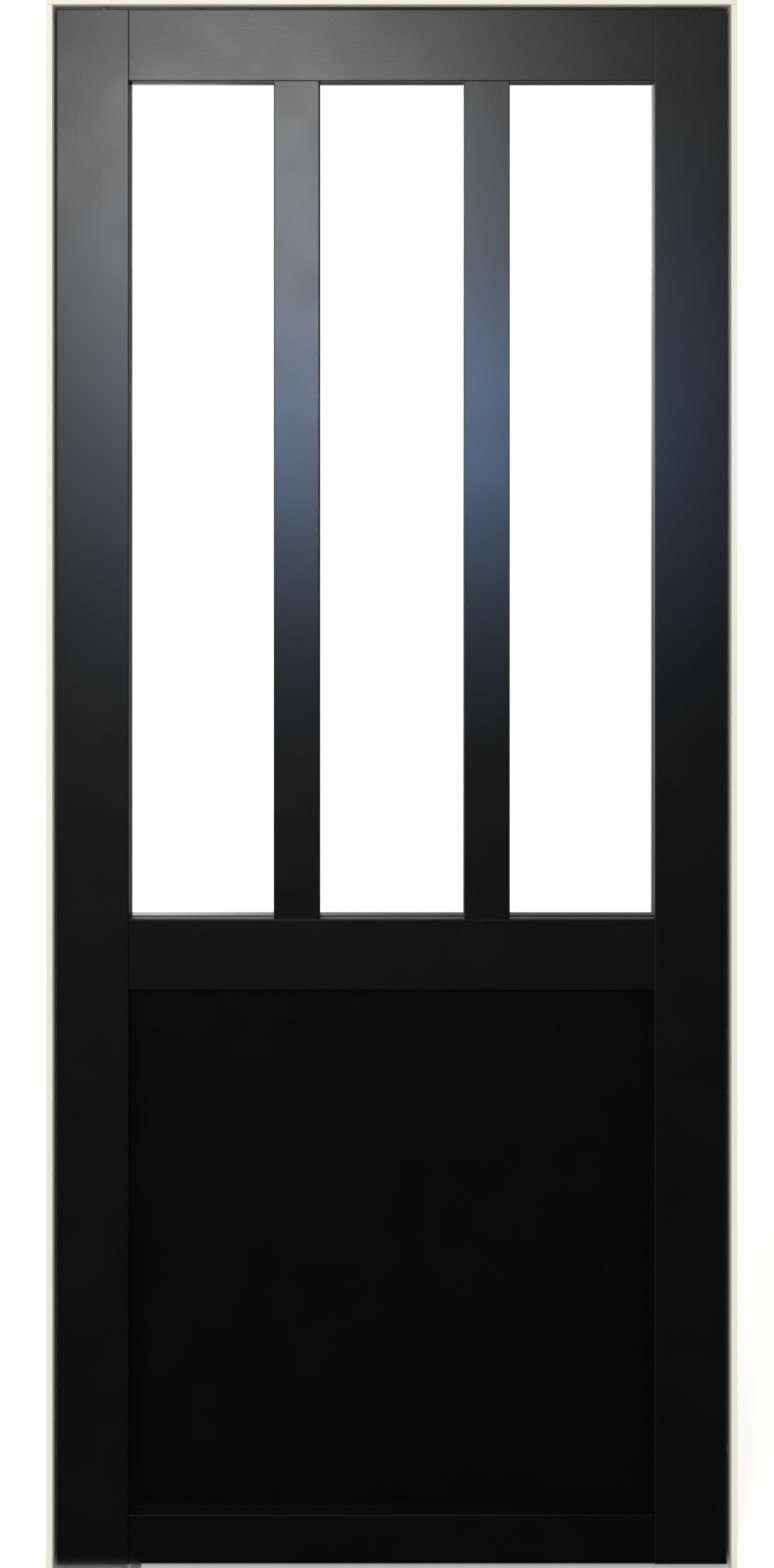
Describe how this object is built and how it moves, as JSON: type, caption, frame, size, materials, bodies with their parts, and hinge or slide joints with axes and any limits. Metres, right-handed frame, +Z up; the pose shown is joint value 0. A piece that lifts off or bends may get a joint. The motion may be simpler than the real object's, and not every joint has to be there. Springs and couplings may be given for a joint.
{
  "type": "glass door",
  "caption": "Half-glazed black timber door leaf, tall clear lights over a flat panel, hung on concealed pivots in a slim cream flat-bar frame and swinging both ways",
  "frame": {"origin": "on the floor, midway between the jambs and in the middle of the frame's depth", "axes": "+X right as seen from the front, -Y out of the front, +Z up"},
  "size_m": [0.9034, 0.06, 2.0601],
  "materials": {
    "black_paint": "satin black paint on timber",
    "clear_glass": "clear toughened float",
    "glazing_rubber": "matt black",
    "beech": "bare beech",
    "brass": "machined",
    "zinc_steel": "zinc plated",
    "nylon": "natural nylon",
    "cream_coat": "matt cream powder coat on steel"
  },
  "bodies": {
    "frame": {"left_jamb": "cream_coat", "right_jamb": "cream_coat", "head": "cream_coat", "floor_plate": "zinc_steel", "top_pivot_pin": "zinc_steel", "bottom_pivot_pin": "zinc_steel", "thrust_washer": "nylon", "frame_screws": "zinc_steel"},
    "leaf": {"left_stile": "black_paint", "right_stile": "black_paint", "top_rail": "black_paint", "middle_rail": "black_paint", "bottom_rail": "black_paint", "left_muntin": "black_paint", "right_muntin": "black_paint", "lower_panel": "black_paint", "left_bottom_bead": "black_paint", "left_right_bead": "black_paint", "left_top_bead": "black_paint", "left_left_bead": "black_paint", "middle_bottom_bead": "black_paint", "middle_right_bead": "black_paint", "middle_top_bead": "black_paint", "middle_left_bead": "black_paint", "right_bottom_bead": "black_paint", "right_right_bead": "black_paint", "right_top_bead": "black_paint", "right_left_bead": "black_paint", "left_pane": "clear_glass", "middle_pane": "clear_glass", "right_pane": "clear_glass", "left_gasket": "glazing_rubber", "middle_gasket": "glazing_rubber", "right_gasket": "glazing_rubber", "rail_dowels": "beech", "muntin_dowels": "beech", "top_pivot_shoe": "brass", "bottom_pivot_shoe": "brass", "shoe_screws": "zinc_steel"}
  },
  "joints": [
    {"name": "leaf_swing", "type": "hinge", "parent": "frame", "child": "leaf", "pos_m": [-0.38, 0, 0.0081], "axis": [0, 0, 1], "range_deg": [-90, 90]}
  ]
}
